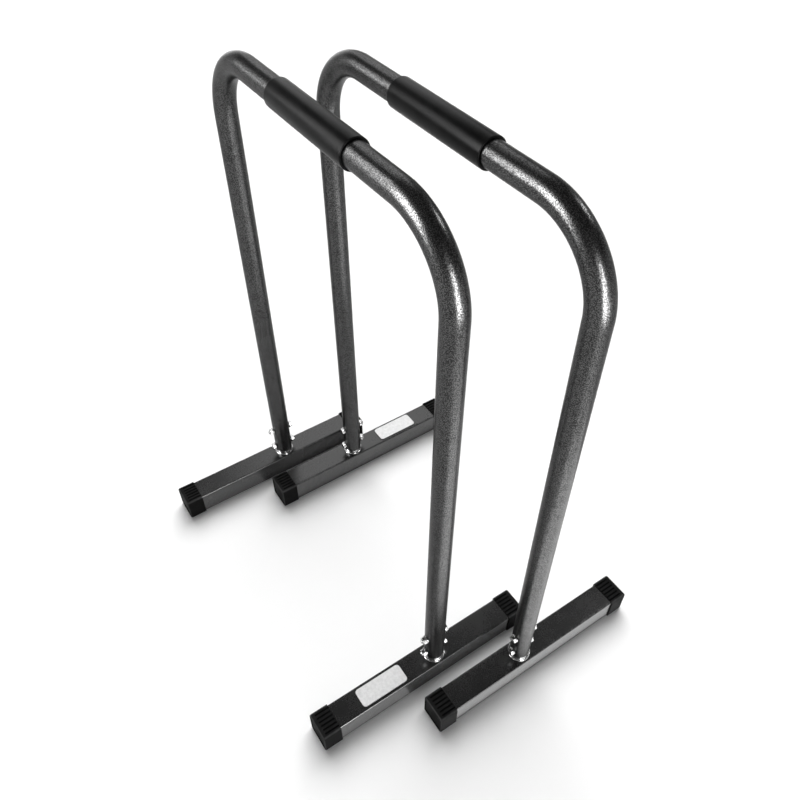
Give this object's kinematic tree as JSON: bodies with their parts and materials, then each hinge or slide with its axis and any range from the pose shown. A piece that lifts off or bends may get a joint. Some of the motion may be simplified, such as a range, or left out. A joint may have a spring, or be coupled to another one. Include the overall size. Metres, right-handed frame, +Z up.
{
  "type": "dip station",
  "caption": "Free-standing pair of inverted-U dip bars with sleeve grips, bolted to square-tube feet with ribbed rubber end caps.",
  "frame": {"origin": "on the floor, midway between the two stands", "axes": "+Z up, X along the bars, Y across them: the left stand is on -Y and the right stand on +Y"},
  "size_m": [0.7646, 0.658, 1.0225],
  "materials": {
    "frame_hammertone": "grey-black hammertone powder coat, mottled and fairly glossy",
    "foot_powder_coat": "charcoal satin powder coat",
    "grip_rubber": "satin black sleeve",
    "cap_rubber": "matt black moulded cap",
    "zinc_hardware": "bright zinc plate",
    "spigot_steel": "bright plated steel",
    "badge_metal": "light silver, satin, bare of lettering"
  },
  "bodies": {
    "left_stand": {"left_frame_tube": "frame_hammertone", "left_grip": "grip_rubber", "left_badge_plate": "badge_metal", "left_badge_foot_beam": "foot_powder_coat", "left_badge_foot_long_cap": "cap_rubber", "left_badge_foot_short_cap": "cap_rubber", "left_badge_leg_spigot": "spigot_steel", "left_badge_leg_collar": "spigot_steel", "left_badge_leg_lower_bolt": "zinc_hardware", "left_badge_leg_lower_nut": "zinc_hardware", "left_badge_leg_lower_head_washer": "zinc_hardware", "left_badge_leg_lower_nut_washer": "zinc_hardware", "left_badge_leg_upper_bolt": "zinc_hardware", "left_badge_leg_upper_nut": "zinc_hardware", "left_badge_leg_upper_head_washer": "zinc_hardware", "left_badge_leg_upper_nut_washer": "zinc_hardware", "left_plain_foot_beam": "foot_powder_coat", "left_plain_foot_long_cap": "cap_rubber", "left_plain_foot_short_cap": "cap_rubber", "left_plain_leg_spigot": "spigot_steel", "left_plain_leg_collar": "spigot_steel", "left_plain_leg_lower_bolt": "zinc_hardware", "left_plain_leg_lower_nut": "zinc_hardware", "left_plain_leg_lower_head_washer": "zinc_hardware", "left_plain_leg_lower_nut_washer": "zinc_hardware", "left_plain_leg_upper_bolt": "zinc_hardware", "left_plain_leg_upper_nut": "zinc_hardware", "left_plain_leg_upper_head_washer": "zinc_hardware", "left_plain_leg_upper_nut_washer": "zinc_hardware"},
    "right_stand": {"right_frame_tube": "frame_hammertone", "right_grip": "grip_rubber", "right_badge_plate": "badge_metal", "right_badge_foot_beam": "foot_powder_coat", "right_badge_foot_long_cap": "cap_rubber", "right_badge_foot_short_cap": "cap_rubber", "right_badge_leg_spigot": "spigot_steel", "right_badge_leg_collar": "spigot_steel", "right_badge_leg_lower_bolt": "zinc_hardware", "right_badge_leg_lower_nut": "zinc_hardware", "right_badge_leg_lower_head_washer": "zinc_hardware", "right_badge_leg_lower_nut_washer": "zinc_hardware", "right_badge_leg_upper_bolt": "zinc_hardware", "right_badge_leg_upper_nut": "zinc_hardware", "right_badge_leg_upper_head_washer": "zinc_hardware", "right_badge_leg_upper_nut_washer": "zinc_hardware", "right_plain_foot_beam": "foot_powder_coat", "right_plain_foot_long_cap": "cap_rubber", "right_plain_foot_short_cap": "cap_rubber", "right_plain_leg_spigot": "spigot_steel", "right_plain_leg_collar": "spigot_steel", "right_plain_leg_lower_bolt": "zinc_hardware", "right_plain_leg_lower_nut": "zinc_hardware", "right_plain_leg_lower_head_washer": "zinc_hardware", "right_plain_leg_lower_nut_washer": "zinc_hardware", "right_plain_leg_upper_bolt": "zinc_hardware", "right_plain_leg_upper_nut": "zinc_hardware", "right_plain_leg_upper_head_washer": "zinc_hardware", "right_plain_leg_upper_nut_washer": "zinc_hardware"}
  },
  "joints": [
    {"name": "stand_spacing", "type": "slide", "parent": "left_stand", "child": "right_stand", "axis": [0, 1, 0], "range_m": [-0.08, 0.46]}
  ]
}
